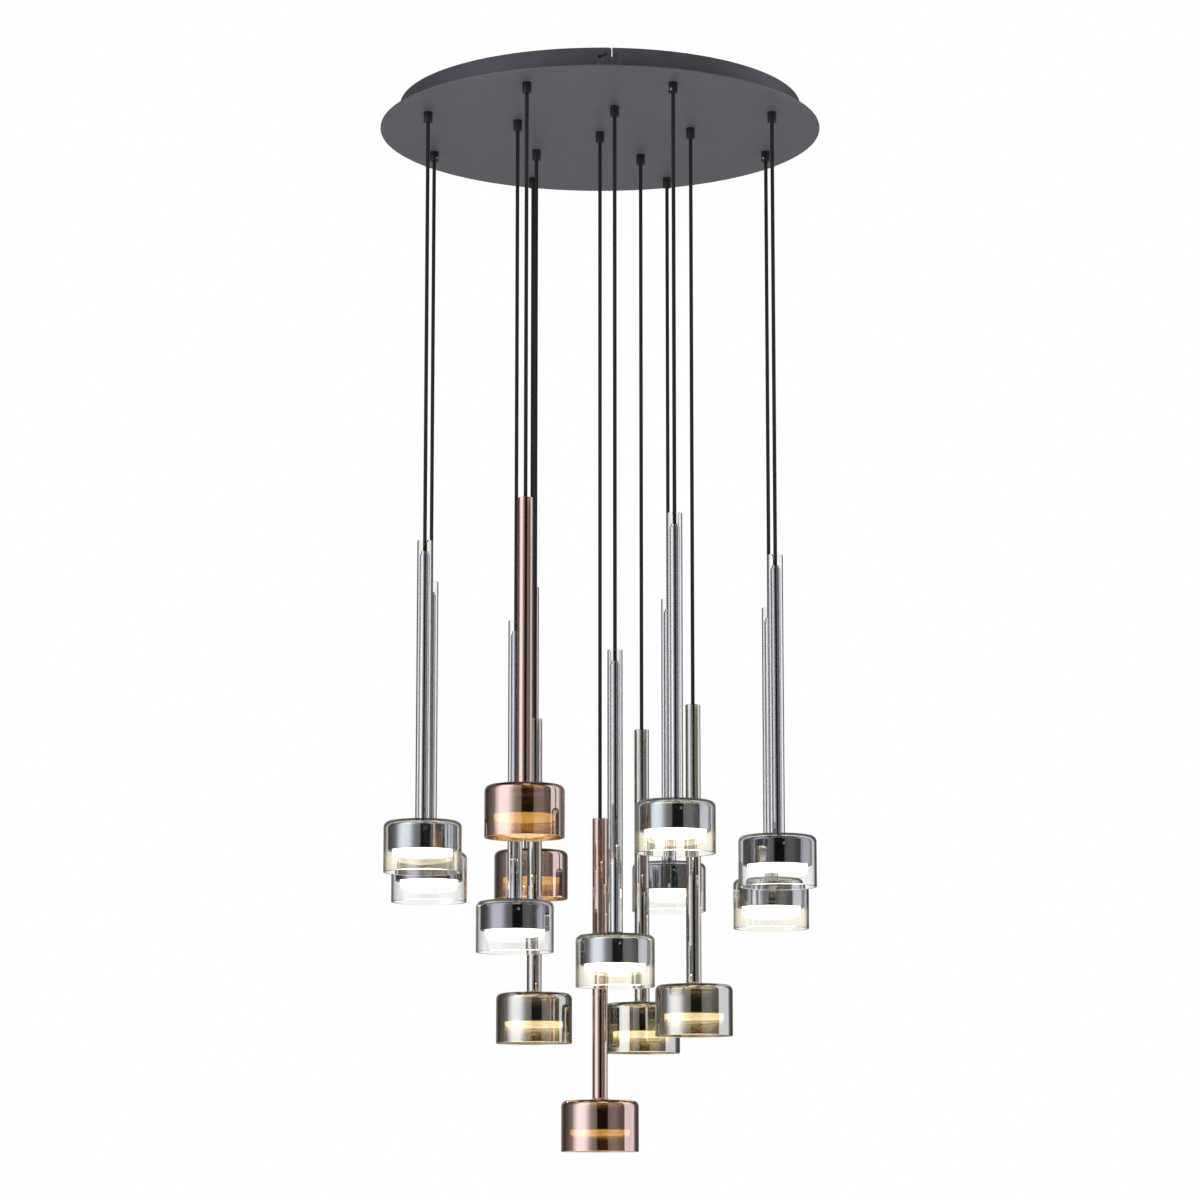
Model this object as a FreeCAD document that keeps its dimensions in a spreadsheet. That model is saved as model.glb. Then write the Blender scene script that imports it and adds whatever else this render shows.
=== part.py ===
import FreeCAD, Part

import os

import Sketcher

# Cluster pendant: a round ceiling canopy that hangs fourteen glass pendants on straight cords.
# Millimetres, +Z up. The origin is on the ceiling, at the centre of the bracket that carries it all.
DIMENSIONS = {
    # canopy
    "plate_diameter": 600,
    "plate_thickness": 3,
    "plate_brim": 26,
    "ring_height": 31,
    "ring_wall": 1.5,
    "ring_foot": 12,
    "slot_width": 3,
    "slot_depth": 12.5,
    "slot_offset": 14.5,
    # ceiling bracket and the screws that lock the canopy to it
    "arm_count": 4,
    "arm_width": 30,
    "bracket_thickness": 2,
    "tab_height": 18,
    "tab_width": 22,
    "tab_gap": 0.5,
    "bolt_circle": 160,
    "bolt_hole": 6.5,
    "cable_hole": 22,
    "lock_screw": 4,
    "lock_screw_length": 9,
    "lock_clearance": 0.1,
    "lock_depth": 12,
    # drilling pattern: one grip in the middle and two circles of them, the inner one half as wide
    "outer_inset": 24,
    "inner_count": 5,
    "inner_first": 63,
    "outer_count": 8,
    "outer_first": 22.5,
    # cord grips and their nuts
    "grip_diameter": 12,
    "grip_height": 14,
    "stud_diameter": 10,
    "stud_clearance": 0.1,
    "nut_flats": 14,
    "nut_height": 4,
    # cords
    "cord_diameter": 5,
    "cord_sides": 8,
    # glass pendant
    "tube_diameter": 20,
    "tube_length": 370,
    "tube_wall": 1.5,
    "shade_diameter": 102,
    "shade_height": 68,
    "shade_wall": 2.5,
    "shade_top": 3.5,
    "shoulder": 6,
    "inner_shoulder": 3,
    # lamp inside the glass
    "stem_diameter": 13,
    "stem_recess": 14,
    "housing_diameter": 90.5,
    "housing_height": 36.5,
    "diffuser_diameter": 78,
    "diffuser_height": 6.5,
    # electrics on the canopy plate
    "driver_length": 150,
    "driver_width": 40,
    "driver_height": 20,
    "driver_lug": 12,
    "driver_lug_height": 2,
    "driver_offset": 48,
    "screw_flats": 7,
    "screw_height": 2.5,
    "terminal_length": 46,
    "terminal_width": 18,
    "terminal_height": 14,
    "terminal_step": 5,
    "terminal_offset": 112,
    "terminal_shift": 12,
    "clamp_length": 26,
    "clamp_width": 10,
    "clamp_height": 7,
    "clamp_shift": 45,
    "mains_cable": 7,
    "earth_flats": 10,
    "earth_height": 6,
    "earth_shift": 28,
}

# How far the top of each glass tube hangs below the canopy plate.
DROPS = {
    "01": 943,
    "02": 793,
    "03": 810,
    "04": 798,
    "05": 686,
    "06": 735,
    "07": 644,
    "08": 610,
    "09": 593,
    "10": 608,
    "11": 585,
    "12": 553,
    "13": 573,
    "14": 604,
}

doc = FreeCAD.newDocument("cluster_pendant")
sheet = doc.addObject("Spreadsheet::Sheet", "Size")
outputs = []


def fill_sheet():
    """Writes each driving dimension into a cell and names the cell after it."""
    rows = dict(DIMENSIONS)
    for number, drop in DROPS.items():
        rows[f"drop_{number}"] = drop
    for row, (name, number) in enumerate(rows.items(), start=1):
        sheet.set(f"A{row}", name)
        sheet.set(f"B{row}", str(number))
        sheet.setAlias(f"B{row}", name)
    doc.recompute()


def sized(expression):
    """The expression with each dimension's name pointed at the sheet."""
    words = expression.split(" ")
    return " ".join(f"Size.{word}" if hasattr(sheet, word) else word for word in words)


def place(piece, x="0", y="0", z="0", turn=None):
    """Binds where a piece stands, and how far it is turned about its own vertical."""
    piece.setExpression("Placement.Base.x", sized(x))
    piece.setExpression("Placement.Base.y", sized(y))
    piece.setExpression("Placement.Base.z", sized(z))
    if turn:
        piece.Placement.Rotation.Axis = FreeCAD.Vector(0, 0, 1)
        piece.setExpression("Placement.Rotation.Angle", sized(turn))


def keep(piece, name):
    """Marks a finished piece as one that is written out under this name."""
    piece.Label = name
    outputs.append(piece)


# ---------- sketches and features ----------
# A sketch numbers its own axes -1 and -2, its origin (-1, 1), a line's two ends 1 and 2, and a
# circle's centre 3.


def new_body(name):
    return doc.addObject("PartDesign::Body", f"{name}_body")


def new_sketch(body, role, name):
    """A sketch on one of the body's own origin planes."""
    plane = next(item for item in body.Origin.OriginFeatures if item.Role == role)
    sketch = body.newObject("Sketcher::SketchObject", name)
    sketch.AttachmentSupport = [(plane, "")]
    sketch.MapMode = "FlatFace"
    return sketch


def pin(sketch, item, point, x, y):
    """Fixes one point of the sketch by its two coordinates, which are sheet expressions."""
    for kind, axis, distance in (("DistanceX", -2, x), ("DistanceY", -1, y)):
        if distance == "0":
            sketch.addConstraint(Sketcher.Constraint("PointOnObject", item, point, axis))
        else:
            index = sketch.addConstraint(Sketcher.Constraint(kind, -1, 1, item, point, 1.0))
            sketch.setExpression(f"Constraints[{index}]", sized(distance))


def outline(sketch, corners):
    """A closed outline with straight sides through the corners."""
    count = len(corners)
    rough = Part.makeCircle(10.0).discretize(count + 1)
    first = sketch.GeometryCount
    for side in range(count):
        sketch.addGeometry(Part.LineSegment(rough[side], rough[side + 1]), False)
    for side in range(count):
        following = first + (side + 1) % count
        sketch.addConstraint(Sketcher.Constraint("Coincident", first + side, 2, following, 1))
    for side, (x, y) in enumerate(corners):
        pin(sketch, first + side, 1, x, y)


def circle(sketch, x, y, diameter):
    """A circle about a point, by its diameter."""
    up = FreeCAD.Vector(0, 0, 1)
    middle = FreeCAD.Vector(1, 1, 0)
    item = sketch.addGeometry(Part.Circle(middle, up, 1.0), False)
    index = sketch.addConstraint(Sketcher.Constraint("Diameter", item, 2.0))
    sketch.setExpression(f"Constraints[{index}]", sized(diameter))
    if x == "0" and y == "0":
        sketch.addConstraint(Sketcher.Constraint("Coincident", item, 3, -1, 1))
    else:
        pin(sketch, item, 3, x, y)


def pad(body, sketch, name, height, down=False):
    feature = body.newObject("PartDesign::Pad", name)
    feature.Profile = sketch
    feature.setExpression("Length", sized(height))
    feature.Reversed = down
    sketch.Visibility = False
    return feature


def pocket(body, sketch, name, depth=None, flip=False):
    """A cut to a depth, or right through both ways where no depth is given."""
    feature = body.newObject("PartDesign::Pocket", name)
    feature.Profile = sketch
    if depth:
        feature.setExpression("Length", sized(depth))
        feature.Reversed = flip
    else:
        feature.Type = "ThroughAll"
        feature.Midplane = True
    sketch.Visibility = False
    return feature


def turn_round(body, sketch, name):
    """The sketch turned once round the body's vertical."""
    feature = body.newObject("PartDesign::Revolution", name)
    feature.Profile = sketch
    feature.ReferenceAxis = (sketch, ["V_Axis"])
    feature.Angle = 360.0
    sketch.Visibility = False
    return feature


def repeat_round(body, features, name, count):
    """Copies of the features at equal angles about the body's vertical."""
    axis = next(item for item in body.Origin.OriginFeatures if item.Role == "Z_Axis")
    pattern = body.newObject("PartDesign::PolarPattern", name)
    pattern.Originals = features
    pattern.Axis = (axis, [""])
    pattern.Angle = 360.0
    pattern.setExpression("Occurrences", sized(count))
    body.Tip = pattern
    return pattern


def lathe(name, corners):
    """A body turned from one outline, given as radius and height above its base."""
    body = new_body(name)
    sketch = new_sketch(body, "XZ_Plane", f"{name}_outline")
    outline(sketch, corners)
    turn_round(body, sketch, f"{name}_turned")
    return body


def cylinder(name, diameter, height):
    rod = doc.addObject("Part::Cylinder", name)
    rod.setExpression("Radius", sized(f"{diameter} / 2"))
    rod.setExpression("Height", sized(height))
    return rod


def prism(name, sides, across, height):
    """An upright prism with flat sides, by the circle through its corners."""
    bar = doc.addObject("Part::Prism", name)
    bar.setExpression("Polygon", sized(sides))
    bar.setExpression("Circumradius", sized(across))
    bar.setExpression("Height", sized(height))
    return bar


def block(name, length, width, height):
    """A plain box, which is placed by its lowest corner."""
    box = doc.addObject("Part::Box", name)
    box.setExpression("Length", sized(length))
    box.setExpression("Width", sized(width))
    box.setExpression("Height", sized(height))
    return box


def group(name, pieces):
    """Separate solids that share one node."""
    compound = doc.addObject("Part::Compound", name)
    compound.Links = pieces
    keep(compound, name)


# ---------- where things are ----------

CEILING = "0"
RING_RADIUS = "( plate_diameter / 2 - plate_brim )"
OUTER_CIRCLE = f"( {RING_RADIUS} - outer_inset )"
INNER_CIRCLE = f"( {OUTER_CIRCLE} / 2 )"
PLATE_TOP = "- ring_height"
PLATE_BOTTOM = "- ring_height - plate_thickness"
GRIP_BOTTOM = f"{PLATE_BOTTOM} - grip_height"


def hole_centre(ring, index):
    """The sheet expressions for one hole of the inner or the outer drilling circle."""
    radius = {"inner": INNER_CIRCLE, "outer": OUTER_CIRCLE}[ring]
    angle = f"( {ring}_first + 360 / {ring}_count * {index} )"
    return f"{radius} * cos( {angle} )", f"{radius} * sin( {angle} )"


def pendant_places():
    """Pendant number to its place: the middle one, the inner ring, then the outer ring."""
    centres = [("0", "0")]
    for index in range(DIMENSIONS["inner_count"]):
        centres.append(hole_centre("inner", index - 1))
    for index in range(DIMENSIONS["outer_count"]):
        centres.append(hole_centre("outer", index))
    return dict(zip(DROPS, centres))


# ---------- canopy ----------


def canopy_plate():
    """The round plate that shows from below, drilled for every grip."""
    body = new_body("canopy_plate")
    face = new_sketch(body, "XY_Plane", "plate_outline")
    circle(face, "0", "0", "plate_diameter")
    pad(body, face, "plate", "plate_thickness")
    middle = new_sketch(body, "XY_Plane", "middle_hole_outline")
    circle(middle, "0", "0", "stud_diameter + 2 * stud_clearance")
    pocket(body, middle, "middle_hole")
    for ring in ("inner", "outer"):
        drilling = new_sketch(body, "XY_Plane", f"{ring}_hole_outline")
        x, y = hole_centre(ring, 0)
        circle(drilling, x, y, "stud_diameter + 2 * stud_clearance")
        hole = pocket(body, drilling, f"{ring}_hole")
        repeat_round(body, [hole], f"{ring}_holes", f"{ring}_count")
    place(body, z=PLATE_BOTTOM)
    keep(body, "canopy_plate")


def canopy_ring():
    """The side wall, turned in at its foot, with open slots and lock screw holes near its top edge."""
    outside = RING_RADIUS
    body = new_body("canopy_ring")
    profile = new_sketch(body, "XZ_Plane", "ring_profile")
    outline(
        profile,
        [
            (f"{outside} - ring_foot", "0"),
            (outside, "0"),
            (outside, "ring_height"),
            (f"{outside} - ring_wall", "ring_height"),
            (f"{outside} - ring_wall", "ring_wall"),
            (f"{outside} - ring_foot", "ring_wall"),
        ],
    )
    turn_round(body, profile, "ring_wall_turned")
    slot_bottom = "ring_height - slot_depth + slot_width / 2"
    slot = new_sketch(body, "XZ_Plane", "slot_outline")
    outline(
        slot,
        [
            ("slot_offset - slot_width / 2", slot_bottom),
            ("slot_offset + slot_width / 2", slot_bottom),
            ("slot_offset + slot_width / 2", "ring_height + slot_width"),
            ("slot_offset - slot_width / 2", "ring_height + slot_width"),
        ],
    )
    slot_end = new_sketch(body, "XZ_Plane", "slot_end_outline")
    circle(slot_end, "slot_offset", slot_bottom, "slot_width")
    screw_hole = new_sketch(body, "XZ_Plane", "screw_hole_outline")
    hole_size = "lock_screw + 2 * lock_clearance"
    circle(screw_hole, "0", "ring_height - lock_depth", hole_size)
    cuts = [
        pocket(body, slot, "slot", "plate_diameter", flip=True),
        pocket(body, slot_end, "slot_end", "plate_diameter", flip=True),
        pocket(body, screw_hole, "screw_hole", "plate_diameter", flip=True),
    ]
    repeat_round(body, cuts, "slots", "arm_count")
    place(body, z=PLATE_TOP)
    keep(body, "canopy_ring")


def ceiling_bracket():
    """A pressed cross that is bolted to the ceiling, its ends bent down inside the ring."""
    reach = f"{RING_RADIUS} - ring_wall - tab_gap"
    half = "arm_width / 2"
    body = new_body("ceiling_bracket")
    arm = new_sketch(body, "XY_Plane", "arm_outline")
    outline(
        arm,
        [
            ("0", f"- {half}"),
            (reach, f"- {half}"),
            (reach, half),
            ("0", half),
        ],
    )
    arms = [pad(body, arm, "arm", "bracket_thickness", down=True)]
    tab = new_sketch(body, "XY_Plane", "tab_outline")
    outline(
        tab,
        [
            (f"{reach} - bracket_thickness", "- tab_width / 2"),
            (reach, "- tab_width / 2"),
            (reach, "tab_width / 2"),
            (f"{reach} - bracket_thickness", "tab_width / 2"),
        ],
    )
    arms.append(pad(body, tab, "tab", "tab_height", down=True))
    repeat_round(body, arms, "cross", "arm_count")
    cable_hole = new_sketch(body, "XY_Plane", "cable_hole_outline")
    circle(cable_hole, "0", "0", "cable_hole")
    pocket(body, cable_hole, "cable_opening")
    bolt = new_sketch(body, "XY_Plane", "bolt_hole_outline")
    circle(bolt, "bolt_circle / 2", "0", "bolt_hole")
    bolt_hole = pocket(body, bolt, "bolt_opening")
    repeat_round(body, [bolt_hole], "bolt_openings", "arm_count")
    thread = new_sketch(body, "XZ_Plane", "thread_outline")
    circle(thread, "0", "- lock_depth", "lock_screw")
    threaded = pocket(body, thread, "thread", "plate_diameter", flip=True)
    repeat_round(body, [threaded], "threads", "arm_count")
    place(body, z=CEILING)
    keep(body, "ceiling_bracket")


def lock_screws():
    """Grub screws through the ring into the bracket's bent ends."""
    upright = 90.0
    screws = []
    for index in range(DIMENSIONS["arm_count"]):
        turn = 360.0 / DIMENSIONS["arm_count"] * index
        screw = cylinder(f"lock_screw_{index}", "lock_screw", "lock_screw_length")
        angle = f"( 360 / arm_count * {index} )"
        inner_end = f"( {RING_RADIUS} - lock_screw_length )"
        screw.Placement.Rotation = FreeCAD.Rotation(turn, upright, 0.0)
        screw.setExpression("Placement.Base.x", sized(f"{inner_end} * cos( {angle} )"))
        screw.setExpression("Placement.Base.y", sized(f"{inner_end} * sin( {angle} )"))
        screw.setExpression("Placement.Base.z", sized("- lock_depth"))
        screws.append(screw)
    group("lock_screws", screws)


def cord_grips(places):
    """Cord grips under the plate, each with a threaded stud up through its hole."""
    grips = []
    for number, (x, y) in places.items():
        top = "grip_height + plate_thickness"
        grip = lathe(
            f"cord_grip_{number}",
            [
                ("0", "0"),
                ("grip_diameter / 2", "0"),
                ("grip_diameter / 2", "grip_height"),
                ("stud_diameter / 2", "grip_height"),
                ("stud_diameter / 2", top),
                ("0", top),
            ],
        )
        place(grip, x, y, GRIP_BOTTOM)
        grips.append(grip)
    group("cord_grips", grips)


def grip_nuts(places):
    """The nuts that clamp the grips, on top of the plate."""
    nuts = []
    for number, (x, y) in places.items():
        nut = prism(f"grip_nut_{number}", "6", "nut_flats / sqrt( 3 )", "nut_height")
        place(nut, x, y, PLATE_TOP)
        nuts.append(nut)
    group("grip_nuts", nuts)


def led_driver(name, side):
    """A driver case with a screw lug at each end. The side is + or -, along Y."""
    case = block(f"{name}_case", "driver_length", "driver_width", "driver_height")
    middle = f"{side} driver_offset"
    place(case, "- driver_length / 2", f"{middle} - driver_width / 2", PLATE_TOP)
    flange_length = "driver_length + 2 * driver_lug"
    flange = block(f"{name}_flange", flange_length, "driver_width", "driver_lug_height")
    flange_start = "- driver_length / 2 - driver_lug"
    place(flange, flange_start, f"{middle} - driver_width / 2", PLATE_TOP)
    driver = doc.addObject("Part::Fuse", f"{name}_joined")
    driver.Base = case
    driver.Tool = flange
    keep(driver, name)


def driver_screws():
    """One hexagon screw on each driver lug."""
    screws = []
    for side in "+-":
        for end in "+-":
            screw = prism(f"driver_screw_{len(screws)}", "6", "screw_flats / sqrt( 3 )", "screw_height")
            x = f"{end} ( driver_length + driver_lug ) / 2"
            place(screw, x, f"{side} driver_offset", f"{PLATE_TOP} + driver_lug_height")
            screws.append(screw)
    group("driver_screws", screws)


def terminal_block():
    """The mains terminal block: a body with a lower step on the wire side."""
    body = block("terminal_body", "terminal_length", "terminal_width / 2", "terminal_height")
    start = "- terminal_shift - terminal_length / 2"
    place(body, start, "terminal_offset", PLATE_TOP)
    low = "terminal_height - terminal_step"
    step = block("terminal_ledge", "terminal_length", "terminal_width", low)
    place(step, start, "terminal_offset - terminal_width / 2", PLATE_TOP)
    joined = doc.addObject("Part::Fuse", "terminal_joined")
    joined.Base = body
    joined.Tool = step
    keep(joined, "terminal_block")


def cable_clamp():
    """The saddle that takes the pull of the mains cable, arched over the cable's path."""
    saddle = block("clamp_saddle", "clamp_length", "clamp_width", "clamp_height")
    middle = "- terminal_shift - clamp_shift"
    start = f"{middle} - clamp_length / 2"
    place(saddle, start, "terminal_offset - clamp_width / 2", PLATE_TOP)
    path = cylinder("clamp_path", "mains_cable", "2 * clamp_width")
    path.Placement.Rotation = FreeCAD.Rotation(FreeCAD.Vector(1, 0, 0), -90.0)
    place(path, middle, "terminal_offset - clamp_width", PLATE_TOP)
    clamp = doc.addObject("Part::Cut", "clamp_cut")
    clamp.Base = saddle
    clamp.Tool = path
    keep(clamp, "cable_clamp")


def earth_terminal():
    """The earthing bolt's nut on the plate."""
    nut = prism("earth_nut", "6", "earth_flats / sqrt( 3 )", "earth_height")
    place(nut, "- terminal_shift + earth_shift + earth_flats", "terminal_offset", PLATE_TOP)
    keep(nut, "earth_terminal")


# ---------- pendants ----------


def cord(number, x, y):
    """The straight cord between the grip and the cap of the stem."""
    length = f"drop_{number} + stem_recess - grip_height"
    line = prism(f"cord_{number}_line", "cord_sides", "cord_diameter / 2", length)
    place(line, x, y, f"{GRIP_BOTTOM} - ( {length} )")
    keep(line, f"cord_{number}")


def rim_height(number):
    """Where the open rim of a pendant's shade hangs."""
    return f"{PLATE_BOTTOM} - drop_{number} - tube_length - shade_height"


def glass(number, x, y):
    """One blown glass: a slender tube that opens into a short round shade, open at both ends."""
    bore = "tube_diameter / 2 - tube_wall"
    tube = "tube_diameter / 2"
    top = "shade_height + tube_length"
    side = "shade_diameter / 2"
    inside = "shade_diameter / 2 - shade_wall"
    ceiling = "shade_height - shade_top"
    body = lathe(
        f"glass_{number}",
        [
            (side, "0"),
            (side, "shade_height - shoulder"),
            (f"{side} - shoulder", "shade_height"),
            (tube, "shade_height"),
            (tube, top),
            (bore, top),
            (bore, ceiling),
            (f"{inside} - inner_shoulder", ceiling),
            (inside, f"{ceiling} - inner_shoulder"),
            (inside, "0"),
        ],
    )
    place(body, x, y, rim_height(number))
    keep(body, f"glass_{number}")


def lamp(number, x, y):
    """What the glass hangs on: a stem up the tube, the light's drum housing and its diffuser."""
    rim = rim_height(number)
    seat = f"{rim} + shade_height - shade_top"
    stem_length = "tube_length + shade_top - stem_recess"
    stem = cylinder(f"stem_{number}", "stem_diameter", stem_length)
    place(stem, x, y, seat)
    housing = cylinder(f"housing_{number}", "housing_diameter", "housing_height")
    place(housing, x, y, f"{seat} - housing_height")
    diffuser = cylinder(f"diffuser_{number}", "diffuser_diameter", "diffuser_height")
    place(diffuser, x, y, f"{seat} - housing_height - diffuser_height")
    group(f"lamp_{number}", [stem, housing, diffuser])


# ---------- the whole ----------


def check_document():
    """Stops the script if any object failed or any piece is not a sound solid."""
    for item in doc.Objects:
        if "Invalid" in item.State or "Error" in item.State:
            raise RuntimeError(f"{item.Label} did not build: {item.State}")
    for piece in outputs:
        shape = piece.Shape
        if shape.isNull() or not shape.isValid() or not shape.Solids:
            raise RuntimeError(f"{piece.Label} is not a sound solid")


def main():
    fill_sheet()
    places = pendant_places()
    canopy_plate()
    canopy_ring()
    ceiling_bracket()
    lock_screws()
    cord_grips(places)
    grip_nuts(places)
    led_driver("led_driver_front", "-")
    led_driver("led_driver_back", "+")
    driver_screws()
    terminal_block()
    cable_clamp()
    earth_terminal()
    for number, (x, y) in places.items():
        cord(number, x, y)
        glass(number, x, y)
        lamp(number, x, y)
    doc.recompute()
    check_document()
    os.makedirs("parts", exist_ok=True)
    for piece in outputs:
        piece.Shape.exportStep(os.path.join("parts", f"{piece.Label}.step"))
        print(f"{piece.Label}: {len(piece.Shape.Solids)} solids, {piece.Shape.Volume / 1000:.2f} cm3")


main()
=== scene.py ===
"""Cluster pendant light: the finished look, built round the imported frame. Metres, +Z up."""

import math

import bmesh
import bpy
from mathutils import Matrix, Vector


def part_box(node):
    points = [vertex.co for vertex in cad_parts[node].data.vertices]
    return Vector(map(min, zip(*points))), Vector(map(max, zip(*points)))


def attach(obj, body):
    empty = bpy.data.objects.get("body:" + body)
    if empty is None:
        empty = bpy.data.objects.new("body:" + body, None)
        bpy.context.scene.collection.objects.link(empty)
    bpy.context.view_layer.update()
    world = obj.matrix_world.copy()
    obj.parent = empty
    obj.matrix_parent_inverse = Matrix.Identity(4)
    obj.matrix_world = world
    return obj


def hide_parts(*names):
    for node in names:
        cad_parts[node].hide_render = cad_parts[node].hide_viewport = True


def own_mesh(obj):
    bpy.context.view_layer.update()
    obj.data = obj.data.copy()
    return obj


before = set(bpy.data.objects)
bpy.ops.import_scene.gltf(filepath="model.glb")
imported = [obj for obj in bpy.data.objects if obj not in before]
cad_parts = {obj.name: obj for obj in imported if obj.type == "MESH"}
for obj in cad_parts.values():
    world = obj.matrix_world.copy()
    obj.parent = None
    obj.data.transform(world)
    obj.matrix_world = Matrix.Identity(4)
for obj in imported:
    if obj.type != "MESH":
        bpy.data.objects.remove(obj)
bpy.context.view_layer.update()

MM = 0.001
PENDANTS = [f"{index:02d}" for index in range(1, 15)]
FINISHES = {
    "copper": ("01", "09", "12"),
    "smoke": ("02", "03", "04"),
    "clear": ("05", "08", "10", "14"),
    "champagne": ("06", "07", "11", "13"),
}

# Camera: a long lens a little below the light, tilted up at it.
CAMERA_PLACE = (0.0, -4.976, -1.490)
CAMERA_TILT = 9.218
CAMERA_LENS = 112.74

# The name of the mesh attribute that is 1 on the outside of a glass and 0 inside it.
OUTSIDE = "outside"

# The lit diffusers: their glow in each kind of shade, the glow of their image in other pendants'
# mirrors, how far their own shade reaches, and the radius that their colours are spread over.
GLOWS = {"copper": 3.3, "smoke": 4.6, "clear": 4.5, "champagne": 11.0}
OPAL_IMAGE = 0.14
OWN_SHADE = 0.09
LIT_RADIUS = 40 * MM
# How high above the rim the painted glow on the champagne glass reaches.
FOOT_GLOW_HEIGHT = 30 * MM


# ---------- shapes ----------

# How far beside a fillet an extra point keeps the faces next to it flat.
SUPPORT = 0.25 * MM
# Edges sharper than this, in degrees, stay crisp in smooth shading.
CRISP_ANGLE = 35.0


def rounded(corners, steps=6):
    """Points of an outline from its corners (radius, height, fillet); a fillet of 0 is a corner."""
    points = []
    count = len(corners)
    for index, (r, z, fillet) in enumerate(corners):
        corner = Vector((r, z))
        if not fillet:
            points.append(corner)
            continue
        before = Vector(corners[index - 1][:2]) - corner
        after = Vector(corners[(index + 1) % count][:2]) - corner
        half = before.angle(after) / 2
        reach = fillet / math.tan(half)
        start = corner + before.normalized() * reach
        end = corner + after.normalized() * reach
        inward = (before.normalized() + after.normalized()).normalized()
        centre = corner + inward * (fillet / math.sin(half))
        if before.length > reach + 2 * SUPPORT:
            points.append(start + before.normalized() * SUPPORT)
        sweep = (start - centre).angle_signed(end - centre)
        for step in range(steps + 1):
            turn = Matrix.Rotation(-sweep * step / steps, 2)
            points.append(centre + turn @ (start - centre))
        if after.length > reach + 2 * SUPPORT:
            points.append(end + after.normalized() * SUPPORT)
    return points


def finished(shape, name):
    """The built shape as a smoothly shaded mesh, with its faces turned outward."""
    bmesh.ops.recalc_face_normals(shape, faces=shape.faces)
    mesh = bpy.data.meshes.new(name)
    shape.to_mesh(mesh)
    shape.free()
    mesh.shade_smooth()
    mesh.set_sharp_from_angle(angle=math.radians(CRISP_ANGLE))
    return mesh


def new_object(name, mesh, materials=()):
    """An object in the scene, whose mesh gets the materials."""
    thing = bpy.data.objects.new(name, mesh)
    bpy.context.scene.collection.objects.link(thing)
    for material in materials:
        mesh.materials.append(material)
    return thing


def lathe_mesh(name, outline, segments=96, closed=False):
    """A mesh turned round the vertical from an outline of (radius, height) points."""
    shape = bmesh.new()
    rings = []
    for r, z in outline:
        if r < 1e-7:
            rings.append([shape.verts.new((0, 0, z))] * segments)
            continue
        ring = []
        for segment in range(segments):
            angle = 2 * math.pi * segment / segments
            ring.append(shape.verts.new((r * math.cos(angle), r * math.sin(angle), z)))
        rings.append(ring)
    last = len(rings) if closed else len(rings) - 1
    for index in range(last):
        lower, upper = rings[index], rings[(index + 1) % len(rings)]
        for segment in range(segments):
            following = (segment + 1) % segments
            corners = [lower[segment], lower[following], upper[following], upper[segment]]
            distinct = list(dict.fromkeys(corners))
            if len(distinct) < 3:
                continue
            shape.faces.new(distinct)
    return finished(shape, name)


def rectangle_mesh(name, half_width, half_depth):
    """A flat rectangle round the origin."""
    mesh = bpy.data.meshes.new(name)
    signs = ((-1, -1), (1, -1), (1, 1), (-1, 1))
    corners = [(half_width * x, half_depth * y, 0) for x, y in signs]
    mesh.from_pydata(corners, [], [(0, 1, 2, 3)])
    return mesh


def centre_of(node):
    """The middle of a node's box, seen from above."""
    low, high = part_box(node)
    return (low.x + high.x) / 2, (low.y + high.y) / 2


# ---------- materials ----------


def new_material(name):
    """A node material and its main shader."""
    material = bpy.data.materials.new(name)
    material.use_nodes = True
    return material, material.node_tree, material.node_tree.nodes["Principled BSDF"]


def glowing_material(name):
    """A node material that is made to give off light only, and its emission."""
    material, tree, shader = new_material(name)
    tree.nodes.remove(shader)
    return material, tree, tree.nodes.new("ShaderNodeEmission")


def noise(tree, scale, detail=3.0):
    """Noise in the object's own coordinates, in waves per metre."""
    place = tree.nodes.new("ShaderNodeTexCoord")
    texture = tree.nodes.new("ShaderNodeTexNoise")
    texture.inputs["Scale"].default_value = scale
    texture.inputs["Detail"].default_value = detail
    tree.links.new(place.outputs["Object"], texture.inputs["Vector"])
    return texture.outputs["Fac"]


def ramp(tree, value, stops):
    """A colour ramp through (position, colour) stops."""
    node = tree.nodes.new("ShaderNodeValToRGB")
    elements = node.color_ramp.elements
    while len(elements) > 1:
        elements.remove(elements[0])
    elements[0].position = stops[0][0]
    elements[0].color = (*stops[0][1], 1.0)
    for position, colour in stops[1:]:
        elements.new(position).color = (*colour, 1.0)
    tree.links.new(value, node.inputs["Fac"])
    return node.outputs["Color"]


def spread(tree, value, low, high):
    """The value's middle range mapped to low and high."""
    node = tree.nodes.new("ShaderNodeMapRange")
    node.inputs["From Min"].default_value = 0.3
    node.inputs["From Max"].default_value = 0.7
    node.inputs["To Min"].default_value = low
    node.inputs["To Max"].default_value = high
    tree.links.new(value, node.inputs["Value"])
    return node.outputs["Result"]


def maths(tree, operation, first, second):
    """One step of arithmetic on sockets or numbers."""
    node = tree.nodes.new("ShaderNodeMath")
    node.operation = operation
    for socket, value in zip(node.inputs, (first, second)):
        if isinstance(value, float):
            socket.default_value = value
        else:
            tree.links.new(value, socket)
    return node.outputs["Value"]


def scaled(tree, colour, factor):
    """A colour made brighter or darker by a factor."""
    node = tree.nodes.new("ShaderNodeVectorMath")
    node.operation = "SCALE"
    tree.links.new(colour, node.inputs["Vector"])
    tree.links.new(factor, node.inputs["Scale"])
    return node.outputs["Vector"]


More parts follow.
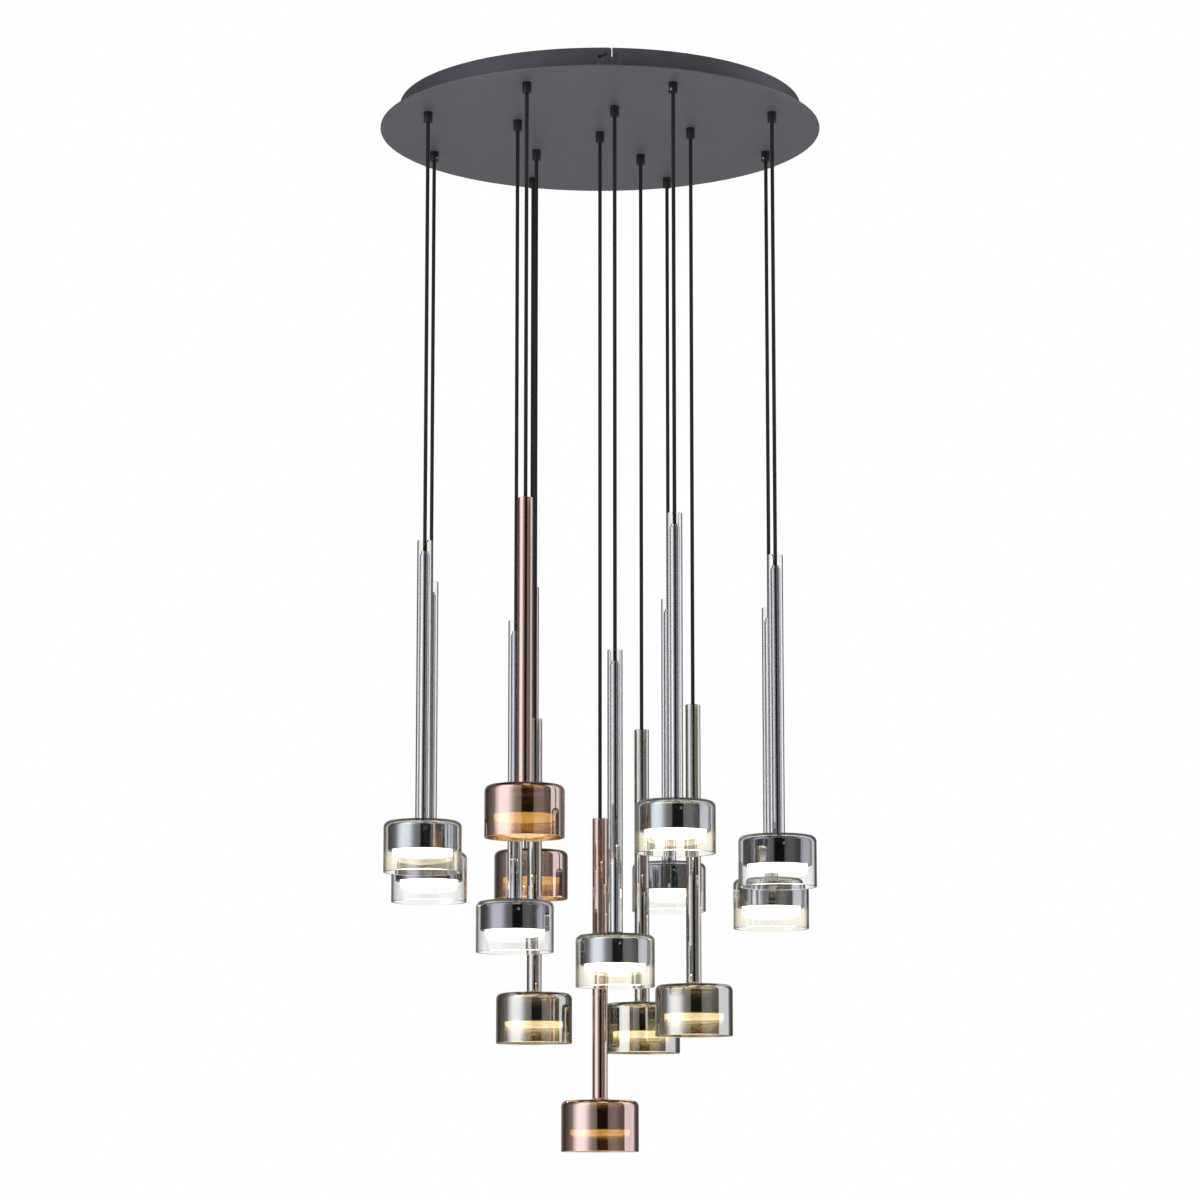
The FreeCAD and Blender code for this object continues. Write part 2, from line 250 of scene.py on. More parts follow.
def from_axis(tree, place):
    """How far a place is from the vertical through the origin."""
    flat = tree.nodes.new("ShaderNodeVectorMath")
    flat.operation = "MULTIPLY"
    flat.inputs[1].default_value = (1.0, 1.0, 0.0)
    tree.links.new(place, flat.inputs[0])
    length = tree.nodes.new("ShaderNodeVectorMath")
    length.operation = "LENGTH"
    tree.links.new(flat.outputs["Vector"], length.inputs[0])
    return length.outputs["Value"]


def bump(tree, shader, value, depth, strength):
    """Relief of the given depth in metres."""
    node = tree.nodes.new("ShaderNodeBump")
    node.inputs["Distance"].default_value = depth
    node.inputs["Strength"].default_value = strength
    tree.links.new(value, node.inputs["Height"])
    tree.links.new(node.outputs["Normal"], shader.inputs["Normal"])


def shades(colour, amount):
    """Two tones of a colour, a little darker and a little lighter."""
    return [tuple(part * factor for part in colour) for factor in (1 - amount, 1 + amount)]


def mottled(tree, shader, colour, scale, amount):
    """A base colour that varies slightly over the surface."""
    dark, light = shades(colour, amount)
    tone = ramp(tree, noise(tree, scale), [(0.35, dark), (0.65, light)])
    tree.links.new(tone, shader.inputs["Base Color"])


def powder_coat(name, colour):
    """Satin paint with a slight orange peel."""
    material, tree, shader = new_material(name)
    mottled(tree, shader, colour, 40.0, 0.03)
    tree.links.new(spread(tree, noise(tree, 300.0), 0.44, 0.52), shader.inputs["Roughness"])
    bump(tree, shader, noise(tree, 1600.0), 0.05 * MM, 0.35)
    return material


def metal(name, colour, roughness, shine=1.0):
    """Bare or plated metal, with faint wipe marks in its gloss."""
    material, tree, shader = new_material(name)
    shader.inputs["Metallic"].default_value = shine
    mottled(tree, shader, colour, 25.0, 0.03)
    tree.links.new(spread(tree, noise(tree, 60.0, 4.0), *roughness), shader.inputs["Roughness"])
    return material


def plastic(name, colour, roughness):
    """Moulded plastic with a fine grain."""
    material, tree, shader = new_material(name)
    mottled(tree, shader, colour, 60.0, 0.04)
    tree.links.new(spread(tree, noise(tree, 200.0), *roughness), shader.inputs["Roughness"])
    bump(tree, shader, noise(tree, 2200.0), 0.03 * MM, 0.4)
    return material


def glass_material(name, absorbed, density):
    """Blown glass whose tint deepens with the thickness looked through."""
    material, tree, shader = new_material(name)
    shader.inputs["Base Color"].default_value = (1.0, 1.0, 1.0, 1.0)
    shader.inputs["Transmission Weight"].default_value = 1.0
    shader.inputs["IOR"].default_value = 1.5
    shader.inputs["Roughness"].default_value = 0.0
    bump(tree, shader, noise(tree, 12.0, 1.0), 0.005 * MM, 0.5)
    volume = tree.nodes.new("ShaderNodeVolumeAbsorption")
    volume.inputs["Color"].default_value = (*absorbed, 1.0)
    volume.inputs["Density"].default_value = density
    tree.links.new(volume.outputs["Volume"], tree.nodes["Material Output"].inputs["Volume"])
    return material


def painted_foot_glow(material, colour, glow):
    """Painted glow: the glass itself gives off light below the diffuser, in place of the lamp's
    light that it catches.
    """
    tree = material.node_tree
    shader = tree.nodes["Principled BSDF"]
    place = tree.nodes.new("ShaderNodeTexCoord")
    height = tree.nodes.new("ShaderNodeSeparateXYZ")
    tree.links.new(place.outputs["Object"], height.inputs["Vector"])
    share = maths(tree, "DIVIDE", height.outputs["Z"], FOOT_GLOW_HEIGHT)
    half = tuple(part / 2 for part in colour)
    stops = [(0.0, half), (0.55, colour), (0.75, colour), (0.95, (0.0, 0.0, 0.0))]
    painted_glow = ramp(tree, share, stops)
    # The painted glow isn't mirrored in the other glasses.
    path = tree.nodes.new("ShaderNodeLightPath")
    straight = maths(tree, "LESS_THAN", path.outputs["Glossy Depth"], 0.5)
    tree.links.new(scaled(tree, painted_glow, straight), shader.inputs["Emission Color"])
    shader.inputs["Emission Strength"].default_value = glow
    return material


def coated_glass(name, colours, covers, absorbed, density):
    """Tinted glass with half-clear metal coats: a thinner one inside and a denser one outside."""
    material = glass_material(name, absorbed, density)
    tree = material.node_tree
    shader = tree.nodes["Principled BSDF"]
    side = tree.nodes.new("ShaderNodeAttribute")
    side.attribute_name = OUTSIDE
    cloud = maths(tree, "MULTIPLY", noise(tree, 20.0), 0.04)
    tone = maths(tree, "ADD", side.outputs["Fac"], maths(tree, "SUBTRACT", cloud, 0.02))
    coat = ramp(tree, tone, [(0.0, colours[0]), (1.0, colours[1])])
    tree.links.new(coat, shader.inputs["Base Color"])
    cover = tree.nodes.new("ShaderNodeMapRange")
    cover.inputs["To Min"].default_value, cover.inputs["To Max"].default_value = covers
    tree.links.new(side.outputs["Fac"], cover.inputs["Value"])
    tree.links.new(cover.outputs["Result"], shader.inputs["Metallic"])
    return material


def opal(name, glow):
    """The lit diffuser: white in the middle and warmer towards its edge."""
    material, tree, shader = new_material(name)
    place = tree.nodes.new("ShaderNodeTexCoord")
    share = maths(tree, "DIVIDE", from_axis(tree, place.outputs["Object"]), LIT_RADIUS)
    stops = [(0.0, (1.0, 0.91, 0.74)), (0.85, (1.0, 0.90, 0.70)), (1.0, (1.0, 0.84, 0.58))]
    warm = ramp(tree, share, stops)
    # Seen whole straight on, through glass and in its own shade; its image in a neighbour is faint.
    path = tree.nodes.new("ShaderNodeLightPath")
    straight = maths(tree, "LESS_THAN", path.outputs["Glossy Depth"], 0.5)
    near = maths(tree, "LESS_THAN", path.outputs["Ray Length"], OWN_SHADE)
    glossy, passed = path.outputs["Is Glossy Ray"], path.outputs["Is Transmission Ray"]
    mirrored = maths(tree, "SUBTRACT", glossy, passed)
    seen = maths(tree, "MAXIMUM", straight, maths(tree, "MULTIPLY", near, mirrored))
    lit = scaled(tree, warm, maths(tree, "MAXIMUM", seen, OPAL_IMAGE / glow))
    tree.links.new(lit, shader.inputs["Emission Color"])
    shader.inputs["Emission Strength"].default_value = glow
    shader.inputs["Base Color"].default_value = (0.9, 0.88, 0.82, 1.0)
    shader.inputs["Roughness"].default_value = 0.4
    return material


def cord_sheath(name):
    """Black braided sheath: fine diagonal ribs."""
    material, tree, shader = new_material(name)
    mottled(tree, shader, (0.018, 0.018, 0.019), 1500.0, 0.08)
    shader.inputs["Roughness"].default_value = 0.6
    shader.inputs["Specular IOR Level"].default_value = 0.2
    place = tree.nodes.new("ShaderNodeTexCoord")
    wave = tree.nodes.new("ShaderNodeTexWave")
    wave.wave_type = "BANDS"
    wave.bands_direction = "DIAGONAL"
    wave.inputs["Scale"].default_value = 900.0
    tree.links.new(place.outputs["Object"], wave.inputs["Vector"])
    bump(tree, shader, wave.outputs["Fac"], 0.01 * MM, 0.15)
    return material


MATERIALS = {
    "canopy": powder_coat("canopy_coat", (0.100, 0.096, 0.112)),
    # The ring has the plate's paint; its darker, bluer tone is painted shade for the little light
    # its upright side gets.
    "ring": powder_coat("ring_coat_painted_shade", (0.060, 0.057, 0.074)),
    "grip": powder_coat("grip_coat", (0.012, 0.011, 0.016)),
    "zinc": metal("zinc_plate", (0.56, 0.57, 0.58), (0.35, 0.50), shine=0.55),
    "dark_screw": metal("dark_screw", (0.10, 0.10, 0.11), (0.25, 0.35)),
    "bright_screw": metal("bright_screw", (0.70, 0.70, 0.72), (0.25, 0.35)),
    "brass": metal("brass", (0.72, 0.52, 0.22), (0.25, 0.35)),
    "chrome": metal("chrome", (0.69, 0.71, 0.75), (0.01, 0.03)),
    "dark_chrome": metal("dark_chrome", (0.48, 0.48, 0.51), (0.01, 0.03)),
    "drum_chrome": metal("drum_chrome", (0.58, 0.60, 0.64), (0.03, 0.06)),
    "black_chrome": metal("black_chrome", (0.30, 0.29, 0.32), (0.03, 0.07)),
    "driver_case": plastic("driver_case", (0.78, 0.78, 0.75), (0.45, 0.6)),
    "terminal": plastic("terminal", (0.72, 0.71, 0.66), (0.3, 0.4)),
    "cord": cord_sheath("cord_sheath"),
}
DIFFUSERS = {finish: opal(f"opal_{finish}", glow) for finish, glow in GLOWS.items()}
# Each glass: the colour that passes, and how much of the rest is lost in a metre.
CLEAR_TINT = ((0.76, 0.72, 0.64), 50.0)
CHAMPAGNE_TINT = ((0.60, 0.56, 0.42), 100.0)
SMOKE_TINT = ((0.86, 0.80, 0.60), 500.0)
COPPER_TINT = ((0.824, 0.69, 0.25), 1000.0)
# The metal coats, inside and outside: their colours, and how much each covers.
SMOKE_COATS = (((1.0, 0.95, 0.80), (0.79, 0.755, 0.71)), (0.35, 0.62))
COPPER_COATS = (((1.0, 0.93, 0.78), (1.0, 0.75, 0.66)), (0.40, 0.61))
# The colour and strength of the painted glow at the champagne glass's foot, in place of the light
# that it catches.
CHAMPAGNE_PAINTED_GLOW = ((1.0, 0.86, 0.42), 0.07)
GLASSES = {
    "clear": glass_material("clear_glass", *CLEAR_TINT),
    "champagne": painted_foot_glow(glass_material("champagne_glass", *CHAMPAGNE_TINT), *CHAMPAGNE_PAINTED_GLOW),
    "smoke": coated_glass("smoke_glass", *SMOKE_COATS, *SMOKE_TINT),
    "copper": coated_glass("copper_glass", *COPPER_COATS, *COPPER_TINT),
}


# ---------- cords ----------


def line_through(route):
    """The points of a smooth line through the route, as the spline itself gives them."""
    data = bpy.data.curves.new("route", "CURVE")
    data.dimensions = "3D"
    spline = data.splines.new("NURBS")
    spline.points.add(len(route) - 1)
    for point, place in zip(spline.points, route):
        point.co = (*place, 1.0)
    spline.order_u = 3
    spline.use_endpoint_u = True
    thing = bpy.data.objects.new("route", data)
    bpy.context.scene.collection.objects.link(thing)
    mesh = bpy.data.meshes.new_from_object(thing)
    points = [vertex.co.copy() for vertex in mesh.vertices]
    bpy.data.objects.remove(thing)
    bpy.data.curves.remove(data)
    bpy.data.meshes.remove(mesh)
    return points


def tube_mesh(name, points, radius, sides=20):
    """A round tube down a line that hangs straight."""
    shape = bmesh.new()
    rings = []
    for point in points:
        ring = []
        for side in range(sides):
            angle = 2 * math.pi * side / sides
            outward = Vector((math.cos(angle), math.sin(angle), 0))
            ring.append(shape.verts.new(point + outward * radius))
        rings.append(ring)
    for upper, lower in zip(rings, rings[1:]):
        for side in range(sides):
            following = (side + 1) % sides
            shape.faces.new([upper[side], upper[following], lower[following], lower[side]])
    shape.faces.new(rings[0])
    shape.faces.new(rings[-1])
    return finished(shape, name)


def hang_cord(number):
    """A straight cord from its grip down into the cap of its stem."""
    node = f"cord_{number}"
    low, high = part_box(node)
    x, y = centre_of(node)
    diameter = high.x - low.x
    route = [(x, y, high.z), (x, y, (high.z + low.z) / 2), (x, y, low.z)]
    points = line_through(route)
    name = f"cord_{number}_sheath"
    piece = new_object(name, tube_mesh(name, points, diameter / 2), [MATERIALS["cord"]])
    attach(piece, f"swing_{number}")
    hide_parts(node)
    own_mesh(piece)


# ---------- pendants ----------

SHADE_RADIUS = 51 * MM
SHADE_WALL = 2.5 * MM
TUBE_RADIUS = 10 * MM
TUBE_BORE = 8.5 * MM
RIM_FILLET = 0.7 * MM
NECK_HEIGHT = 68 * MM
SHOULDER_HEIGHT = 66.6 * MM
TUBE_TOP = 438 * MM
HOUSING_RADIUS = 45.25 * MM
HOUSING_FOOT = 28 * MM
# The drum's clearance from the glass, over its flat top and over its sloping edge.
TOP_CLEARANCE = 0.6 * MM
EDGE_CLEARANCE = 0.9 * MM
DIFFUSER_RADIUS = 39 * MM
DIFFUSER_FOOT = 21.5 * MM
STEM_RADIUS = 6.5 * MM
STEM_FOOT = HOUSING_FOOT + 30 * MM
STEM_TOP = 423.9 * MM
STEM_CAP_RADIUS = 5 * MM
STEM_CAP_HEIGHT = 4 * MM
# The small screw in the side of a housing: its height over the rim, and degrees to the right.
SET_SCREW_HEIGHT = 54 * MM
SET_SCREW_TURN = 7.5


def glass_mesh(finish):
    """The blown glass: outside up from the rim, then back down the inside."""
    inner_radius = SHADE_RADIUS - SHADE_WALL
    outline = rounded(
        [
            (SHADE_RADIUS, 0, RIM_FILLET),
            (SHADE_RADIUS, SHOULDER_HEIGHT, 8 * MM),
            (TUBE_RADIUS, NECK_HEIGHT, 3 * MM),
            (TUBE_RADIUS, TUBE_TOP, RIM_FILLET),
            (TUBE_BORE, TUBE_TOP, RIM_FILLET),
            (TUBE_BORE, NECK_HEIGHT - SHADE_WALL, 3 * MM),
            (inner_radius, SHOULDER_HEIGHT - SHADE_WALL, 6 * MM),
            (inner_radius, 0, RIM_FILLET),
        ]
    )
    mesh = lathe_mesh(f"{finish}_glass", outline, closed=True)
    side = mesh.attributes.new(OUTSIDE, "FLOAT", "FACE")
    for face in mesh.polygons:
        outward = face.normal.x * face.center.x + face.normal.y * face.center.y
        above_shade = face.normal.z > 0.5
        side.data[face.index].value = 1.0 if outward > 0 or above_shade else 0.0
    return mesh


def stem_mesh():
    """The rod from the housing up to its cap, where the cord goes in."""
    return lathe_mesh(
        "stem",
        rounded(
            [
                (0, STEM_FOOT, 0),
                (STEM_RADIUS, STEM_FOOT, 0),
                (STEM_RADIUS, STEM_TOP - STEM_CAP_HEIGHT, 0.8 * MM),
                (STEM_CAP_RADIUS, STEM_TOP - STEM_CAP_HEIGHT, 0),
                (STEM_CAP_RADIUS, STEM_TOP, 0.8 * MM),
                (0, STEM_TOP, 0),
            ]
        ),
        segments=48,
    )


def housing_mesh():
    """The drum under the top of the glass."""
    top = NECK_HEIGHT - SHADE_WALL - TOP_CLEARANCE
    edge = SHOULDER_HEIGHT - SHADE_WALL - EDGE_CLEARANCE
    return lathe_mesh(
        "housing",
        rounded(
            [
                (0, HOUSING_FOOT, 0),
                (HOUSING_RADIUS, HOUSING_FOOT, 0.8 * MM),
                (HOUSING_RADIUS, edge, 4 * MM),
                (STEM_RADIUS + 3 * MM, top, 1 * MM),
                (0, top, 0),
            ]
        ),
        segments=128,
    )


def diffuser_mesh():
    """The lit disc under the drum, with a round lower edge."""
    return lathe_mesh(
        "diffuser",
        rounded(
            [
                (0, DIFFUSER_FOOT, 0),
                (DIFFUSER_RADIUS * 0.8, DIFFUSER_FOOT, 0),
                (DIFFUSER_RADIUS, DIFFUSER_FOOT + 0.6 * MM, 2.5 * MM),
                (DIFFUSER_RADIUS, HOUSING_FOOT, 0),
                (0, HOUSING_FOOT, 0),
            ]
        ),
        segments=96,
    )


def screw_mesh(radius=1.5 * MM, head=0.5 * MM):
    """A small grub screw's end, with its socket towards +Z."""
    socket = radius * 0.5
    return lathe_mesh(
        "grub_screw",
        [
            Vector((0, head * 0.2)),
            Vector((socket, head * 0.2)),
            Vector((socket, head)),
            Vector((radius * 0.85, head)),
            Vector((radius, head * 0.7)),
            Vector((radius, -head)),
        ],
        segments=24,
    )


def hang_pendant(number, finish, shared):
    """One glass with its lamp, where its nodes are."""
    x, y = centre_of(f"glass_{number}")
    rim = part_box(f"glass_{number}")[0].z
    body = f"pendant_{number}"

    def add(name, mesh):
        piece = new_object(f"{name}_{number}", mesh)
        piece.location = (x, y, rim)
        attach(piece, body)
        return piece

    tone, plating = ("dark", "black_chrome") if finish == "clear" else ("bright", "polished_metal")
    glass = add("blown_glass", shared["glass", finish])
    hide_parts(f"glass_{number}")
    housing = add("housing", shared["housing", tone])
    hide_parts(f"lamp_{number}")
    stem = add("stem", shared["stem", tone])
    add("diffuser", shared["diffuser", finish])
    screw = add("set_screw", shared["screw"])
    turn = math.radians(SET_SCREW_TURN)
    place = Vector((math.sin(turn), -math.cos(turn), 0)) * HOUSING_RADIUS
    world = Matrix.Translation(Vector((x, y, rim + SET_SCREW_HEIGHT)) + place)
    screw.matrix_world = world @ place.to_track_quat("Z", "Y").to_matrix().to_4x4()
    # Neighbouring pendants don't mirror the metal parts.
    for piece in (housing, stem, screw):
        piece.visible_glossy = False


def hang_pendants():
    """All the pendants, with one mesh for each kind of piece."""
    shared = {}
    for finish in FINISHES:
        mesh = glass_mesh(finish)
        mesh.materials.append(GLASSES[finish])
        shared["glass", finish] = mesh
        shared["diffuser", finish] = diffuser_mesh()
        shared["diffuser", finish].materials.append(DIFFUSERS[finish])
    platings = {"bright": ("drum_chrome", "chrome"), "dark": ("black_chrome", "dark_chrome")}
    for tone, (drum, rod) in platings.items():
        shared["housing", tone] = housing_mesh()
        shared["housing", tone].materials.append(MATERIALS[drum])
        shared["stem", tone] = stem_mesh()
        shared["stem", tone].materials.append(MATERIALS[rod])
    shared["screw"] = screw_mesh()
    shared["screw"].materials.append(MATERIALS["chrome"])
    for finish, numbers in FINISHES.items():
        for number in numbers:
            hang_pendant(number, finish, shared)


# ---------- canopy ----------

GRIP_RADIUS = 6 * MM
# Where a grip's grub screw is turned to, in degrees to the right of the camera's side. The others
# look away from the camera, each a step further round than the one before.
GRUB_TURNS = {"07": -40, "10": 38, "13": -28}
GRUB_AWAY = 130
GRUB_STEP = 7
# The radius and the head of the small screws, and where they sit: over the grip's foot, and in
# from the terminal block's side.
GRUB_SCREW = (1.6 * MM, 0.4 * MM)
GRUB_HEIGHT = 4 * MM
TERMINAL_SCREW = (2.2 * MM, 0.6 * MM)
TERMINAL_INSET = 4.5 * MM
TERMINAL_POLES = 5
# How round the edges of the canopy's pieces are, where they turn by more than an angle in degrees.
EDGE = 0.4 * MM
EDGES = {"canopy_ring": 0.3 * MM, "led_driver_front": 1.2 * MM, "led_driver_back": 1.2 * MM}
EDGE_ANGLE = 40


def plate():
    """The canopy's plate, truly round and with a soft edge."""
    low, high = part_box("canopy_plate")
    radius = high.x
    mesh = lathe_mesh(
        "canopy_plate_finished",
        rounded(
            [
                (0, low.z, 0),
                (radius, low.z, 0.8 * MM),
                (radius, high.z, 0.8 * MM),
                (0, high.z, 0),
            ],
            steps=4,
        ),
        segments=256,
    )
    piece = new_object("canopy_plate_finished", mesh, [MATERIALS["canopy"]])
    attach(piece, "canopy")
    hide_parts("canopy_plate")


def soften(thing, edge):
    """Small rounded edges on a CAD node, whose own mesh stays as it is."""
    weld = thing.modifiers.new("weld", "WELD")
    weld.merge_threshold = 0.01 * MM
    bevel = thing.modifiers.new("soft_edges", "BEVEL")
    bevel.width = edge
    bevel.segments = 2
    bevel.limit_method = "ANGLE"
    bevel.angle_limit = math.radians(EDGE_ANGLE)


def grip_screws():
    """The grub screw near the foot of each grip; three of them look towards the camera's side."""
    mesh = screw_mesh(*GRUB_SCREW)
    mesh.materials.append(MATERIALS["bright_screw"])
    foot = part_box("cord_grips")[0].z
    for index, number in enumerate(PENDANTS):
        x, y = centre_of(f"cord_{number}")
        turn = math.radians(GRUB_TURNS.get(number, GRUB_AWAY + GRUB_STEP * index))
        outward = Vector((math.sin(turn), -math.cos(turn), 0))
        screw = new_object(f"grip_screw_{number}", mesh)
        place = Matrix.Translation(Vector((x, y, foot + GRUB_HEIGHT)) + outward * GRIP_RADIUS)
        screw.matrix_world = place @ outward.to_track_quat("Z", "Y").to_matrix().to_4x4()
        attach(screw, "canopy")


def terminal_screws():
    """A row of clamping screws along the terminal block."""
    low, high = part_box("terminal_block")
    mesh = screw_mesh(*TERMINAL_SCREW)
    mesh.materials.append(MATERIALS["zinc"])
    for pole in range(TERMINAL_POLES):
        x = low.x + (high.x - low.x) * (pole + 0.5) / TERMINAL_POLES
        screw = new_object(f"terminal_screw_{pole + 1}", mesh)
        screw.location = (x, high.y - TERMINAL_INSET, high.z)
        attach(screw, "canopy")


def dress_canopy():
    """The plate, the screws, and the finishes of the canopy's other pieces."""
    plate()
    grip_screws()
    terminal_screws()
    finishes = {
        # The ring gets the plate's paint darkened as painted shade.
        "canopy_ring": "ring",
        "ceiling_bracket": "zinc",
        "lock_screws": "dark_screw",
        "cord_grips": "grip",
        "grip_nuts": "zinc",
        "led_driver_front": "driver_case",
        "led_driver_back": "driver_case",
        "driver_screws": "zinc",
        "terminal_block": "terminal",
        "cable_clamp": "terminal",
        "earth_terminal": "brass",
    }
    for node, material in finishes.items():
        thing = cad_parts[node]
        thing.data.materials.clear()
        thing.data.materials.append(MATERIALS[material])
        soften(thing, EDGES.get(node, EDGE))


# ---------- studio ----------

FLOOR_HEIGHT = -2.4
FLOOR_REACH = 40.0
STUDIO_RADIUS = 3.0
STUDIO_TOP = 1.5
# The light card under the ceiling: its place, and half its width and depth.
CARD_PLACE = (0.12, -1.3, STUDIO_TOP - 0.05)
CARD_HALF = (0.35, 0.25)
# Each light's place, what it points at, and its power; and the side of each in metres.
LIGHTS = {
    "key": ((-2.2, -2.6, -0.2), (0, 0, -0.8), 22.0),
    "fill": ((2.6, -1.8, -1.6), (0, 0, -0.8), 18.0),
    "floor_fill": ((0.0, -0.8, -2.3), (0, 0, 0), 13.0),
}
LIGHT_SIZE = 1.6
# Brightness round the studio wall, by the angle to the right of the camera's side: a wide soft
# light to the left, a sharp-edged one to the right, and dark cloth between.
WALL_BANDS = [
    (-180, 0.32),
    (-150, 0.22),
    (-136, 0.05),
    (-128, 0.05),
    (-106, 0.16),
    (-95, 0.26),
    (-89, 0.45),
    (-80, 1.10),
    (-72, 1.60),
    (-64, 1.75),
    (-47, 1.68),
    (-41, 1.40),
    (-35, 0.95),
    (-29, 0.55),
    (-23, 0.35),
    (-9, 0.21),
    (-8, 0.01),
    (23, 0.01),
    (24, 0.22),
    (36, 0.27),
    (48, 0.27),
    (60, 0.17),
    (76, 0.12),
    (79, 1.25),
    (119, 1.20),
    (122, 0.35),
    (128, 0.20),
    (140, 0.05),
    (150, 0.10),
    (179, 0.32),
]
# The colours of the light and of the cloth, and the brightness that tells them apart.
WALL_TINT = (0.86, 0.91, 1.0)
CLOTH_TINT = (0.97, 0.97, 0.95)
CLOTH_LEVEL = 0.4
# The ceiling's share of the wall's brightness, and where it starts and ends along the radius.
CEILING_SHARE = 0.06
CEILING_FROM = 0.60
CEILING_TO = 0.99


def ray_mask(tree):
    """1 for what the camera, a reflection or a view through glass sees."""
    path = tree.nodes.new("ShaderNodeLightPath")
    total = path.outputs["Is Camera Ray"]
    for kind in ("Is Glossy Ray", "Is Transmission Ray"):
        total = maths(tree, "MAXIMUM", total, path.outputs[kind])
    return total


def make_world():
    """Soft light from all round, and white where it is looked at."""
    world = bpy.data.worlds.new("studio")
    bpy.context.scene.world = world
    world.use_nodes = True
    tree = world.node_tree
    soft = tree.nodes["Background"]
    soft.inputs["Color"].default_value = (0.96, 0.98, 1.0, 1.0)
    soft.inputs["Strength"].default_value = 0.75
    white = tree.nodes.new("ShaderNodeBackground")
    white.inputs["Color"].default_value = (1.0, 1.0, 1.0, 1.0)
    white.inputs["Strength"].default_value = 1.0
    mix = tree.nodes.new("ShaderNodeMixShader")
    tree.links.new(ray_mask(tree), mix.inputs["Fac"])
    tree.links.new(soft.outputs["Background"], mix.inputs[1])
    tree.links.new(white.outputs["Background"], mix.inputs[2])
    tree.links.new(mix.outputs["Shader"], tree.nodes["World Output"].inputs["Surface"])


def make_floor():
    """A pale floor that keeps the light's shadow and fades into the white behind it."""
    material, tree, shader = new_material("floor")
    mottled(tree, shader, (0.80, 0.80, 0.80), 2.0, 0.005)
    shader.inputs["Roughness"].default_value = 0.9
    shader.inputs["Specular IOR Level"].default_value = 0.0
    glow = tree.nodes.new("ShaderNodeEmission")
    tree.links.new(ray_mask(tree), glow.inputs["Strength"])
    glow.inputs["Color"].default_value = (0.3, 0.3, 0.3, 1.0)
    both = tree.nodes.new("ShaderNodeAddShader")
    tree.links.new(shader.outputs["BSDF"], both.inputs[0])
    tree.links.new(glow.outputs["Emission"], both.inputs[1])
    tree.links.new(both.outputs["Shader"], tree.nodes["Material Output"].inputs["Surface"])
    floor = new_object("floor", rectangle_mesh("floor", FLOOR_REACH, FLOOR_REACH), [material])
    floor.location.z = FLOOR_HEIGHT


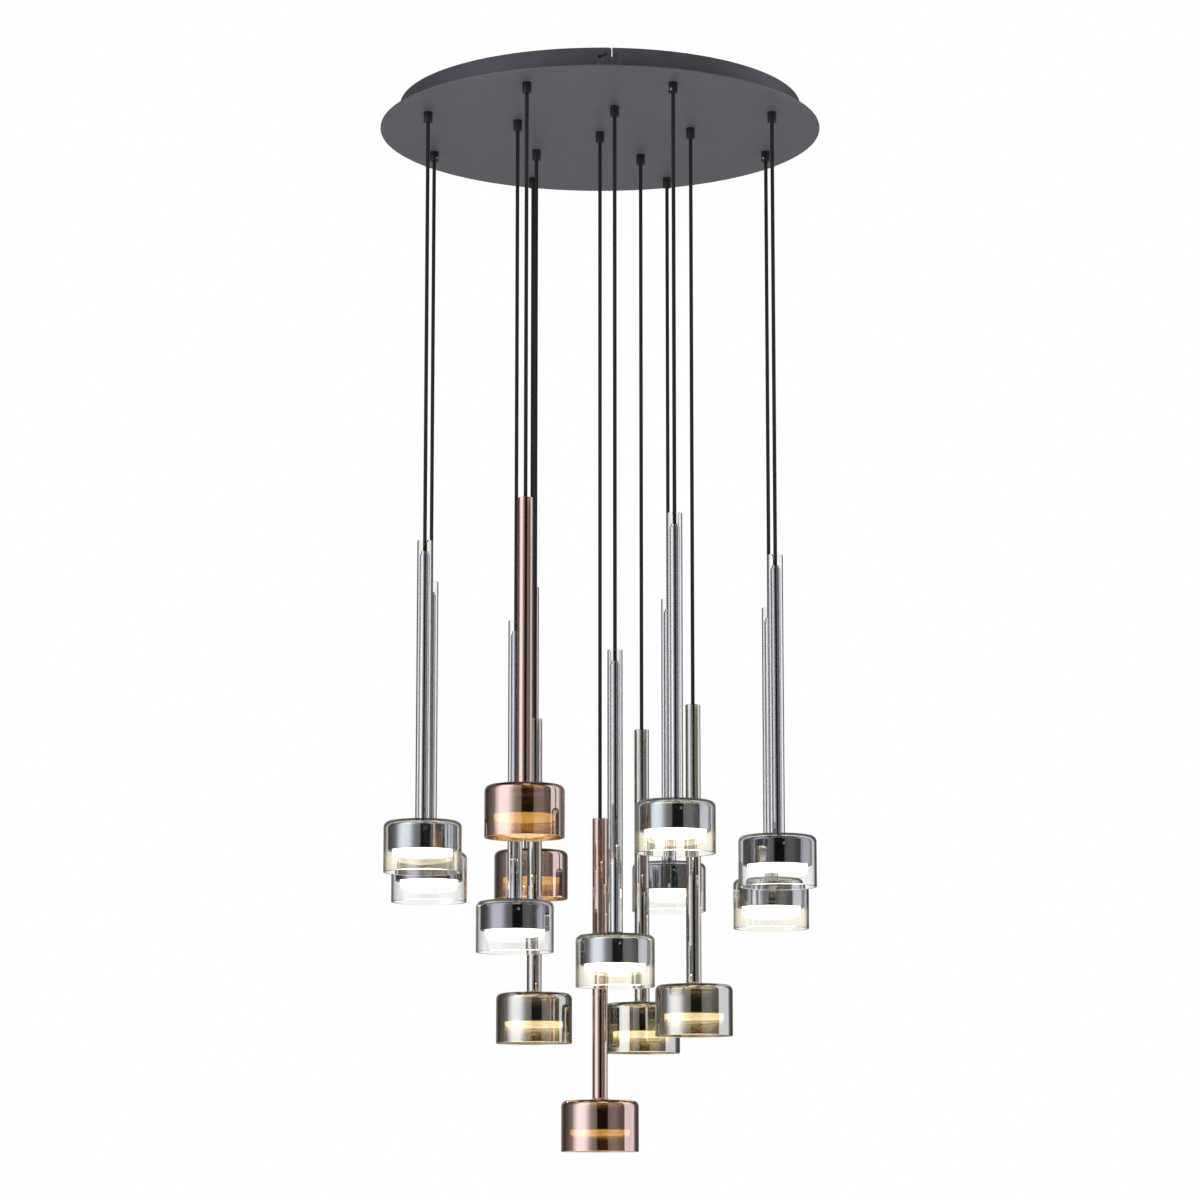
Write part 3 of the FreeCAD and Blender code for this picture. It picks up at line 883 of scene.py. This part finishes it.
def make_studio_wall():
    """A round wall of lights and dark cloth, and a dark ceiling, that only show in reflections."""
    corners = [(STUDIO_RADIUS, FLOOR_HEIGHT), (STUDIO_RADIUS, STUDIO_TOP), (0, STUDIO_TOP)]
    outline = [Vector(corner) for corner in corners]
    mesh = lathe_mesh("studio_wall", outline, segments=180)
    material, tree, glow = glowing_material("studio_wall")
    place = tree.nodes.new("ShaderNodeTexCoord")
    around = tree.nodes.new("ShaderNodeTexGradient")
    around.gradient_type = "RADIAL"
    tree.links.new(place.outputs["Object"], around.inputs["Vector"])
    stops = []
    for angle, level in WALL_BANDS:
        tint = WALL_TINT if level > CLOTH_LEVEL else CLOTH_TINT
        stops.append(((angle / 360 + 0.25) % 1.0, tuple(level * part for part in tint)))
    stops.sort()
    tree.links.new(ramp(tree, around.outputs["Fac"], stops), glow.inputs["Color"])
    reach = tree.nodes.new("ShaderNodeMapRange")
    reach.inputs["From Min"].default_value = STUDIO_RADIUS * CEILING_FROM
    reach.inputs["From Max"].default_value = STUDIO_RADIUS * CEILING_TO
    reach.inputs["To Min"].default_value = CEILING_SHARE
    tree.links.new(from_axis(tree, place.outputs["Object"]), reach.inputs["Value"])
    tree.links.new(reach.outputs["Result"], glow.inputs["Strength"])
    # Looked at straight through glass, with no reflection on the way, the wall isn't there.
    clear = tree.nodes.new("ShaderNodeBsdfTransparent")
    path = tree.nodes.new("ShaderNodeLightPath")
    mirrored = maths(tree, "GREATER_THAN", path.outputs["Glossy Depth"], 0.5)
    mix = tree.nodes.new("ShaderNodeMixShader")
    tree.links.new(mirrored, mix.inputs["Fac"])
    tree.links.new(clear.outputs["BSDF"], mix.inputs[1])
    tree.links.new(glow.outputs["Emission"], mix.inputs[2])
    tree.links.new(mix.outputs["Shader"], tree.nodes["Material Output"].inputs["Surface"])
    wall = new_object("studio_wall", mesh, [material])
    wall.visible_camera = False
    wall.visible_diffuse = False
    wall.visible_shadow = False


def make_top_card():
    """A small light card high up in front, for the glint at the top of each shade."""
    material, tree, glow = glowing_material("top_card")
    glow.inputs["Color"].default_value = (1.0, 0.97, 0.93, 1.0)
    glow.inputs["Strength"].default_value = 2.0
    tree.links.new(glow.outputs["Emission"], tree.nodes["Material Output"].inputs["Surface"])
    card = new_object("top_card", rectangle_mesh("top_card", *CARD_HALF), [material])
    card.location = CARD_PLACE
    card.visible_camera = False
    card.visible_diffuse = False
    card.visible_transmission = False
    card.visible_shadow = False


def add_light(name, place, target, power):
    """A square soft light that points at its target."""
    data = bpy.data.lights.new(name, "AREA")
    data.shape = "SQUARE"
    data.size = LIGHT_SIZE
    data.energy = power
    light = bpy.data.objects.new(name, data)
    bpy.context.scene.collection.objects.link(light)
    light.location = place
    light.rotation_euler = (Vector(target) - Vector(place)).to_track_quat("-Z", "Y").to_euler()
    light.visible_glossy = False
    light.visible_camera = False


def make_camera():
    """The camera, which looks along +Y and a little up."""
    data = bpy.data.cameras.new("camera")
    data.sensor_width = 36.0
    data.lens = CAMERA_LENS
    data.clip_end = 100.0
    camera = bpy.data.objects.new("camera", data)
    bpy.context.scene.collection.objects.link(camera)
    camera.location = CAMERA_PLACE
    camera.rotation_euler = (math.radians(90 + CAMERA_TILT), 0, 0)
    bpy.context.scene.camera = camera


# ---------- the whole ----------

make_camera()
for number in PENDANTS:
    hang_cord(number)
hang_pendants()
dress_canopy()
make_world()
make_floor()
make_studio_wall()
make_top_card()
for name, (place, target, power) in LIGHTS.items():
    add_light(name, place, target, power)
bpy.context.scene.view_settings.view_transform = "Standard"
